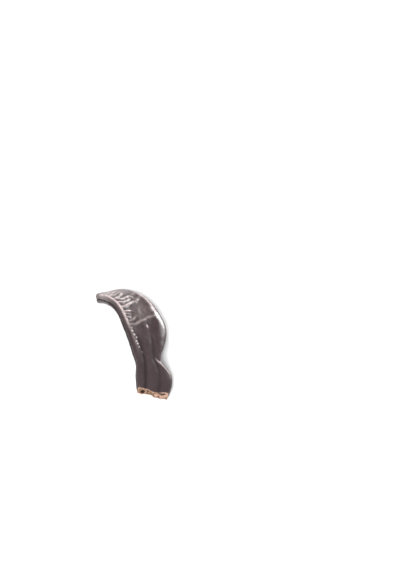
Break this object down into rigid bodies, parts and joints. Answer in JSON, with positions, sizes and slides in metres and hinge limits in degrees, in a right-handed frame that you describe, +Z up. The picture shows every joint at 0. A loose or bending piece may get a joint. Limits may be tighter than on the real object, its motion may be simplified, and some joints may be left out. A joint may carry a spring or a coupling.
{
  "type": "dried carob pod",
  "caption": "Flat, curved, leathery dried pod with thick corded margins, a pinched waist, a knobbed tip and a torn, broken end.",
  "frame": {"origin": "centre of the pod's footprint, on the surface that it lies on", "axes": "+Z up, +Y along the pod from its broken end to its tip, +X towards the outer (dorsal) margin"},
  "size_m": [0.0542, 0.0974, 0.0228],
  "materials": {
    "dried_pod": "dry, wrinkled, satin sheen on the cords"
  },
  "bodies": {
    "root": {"pod": "dried_pod"}
  },
  "joints": []
}
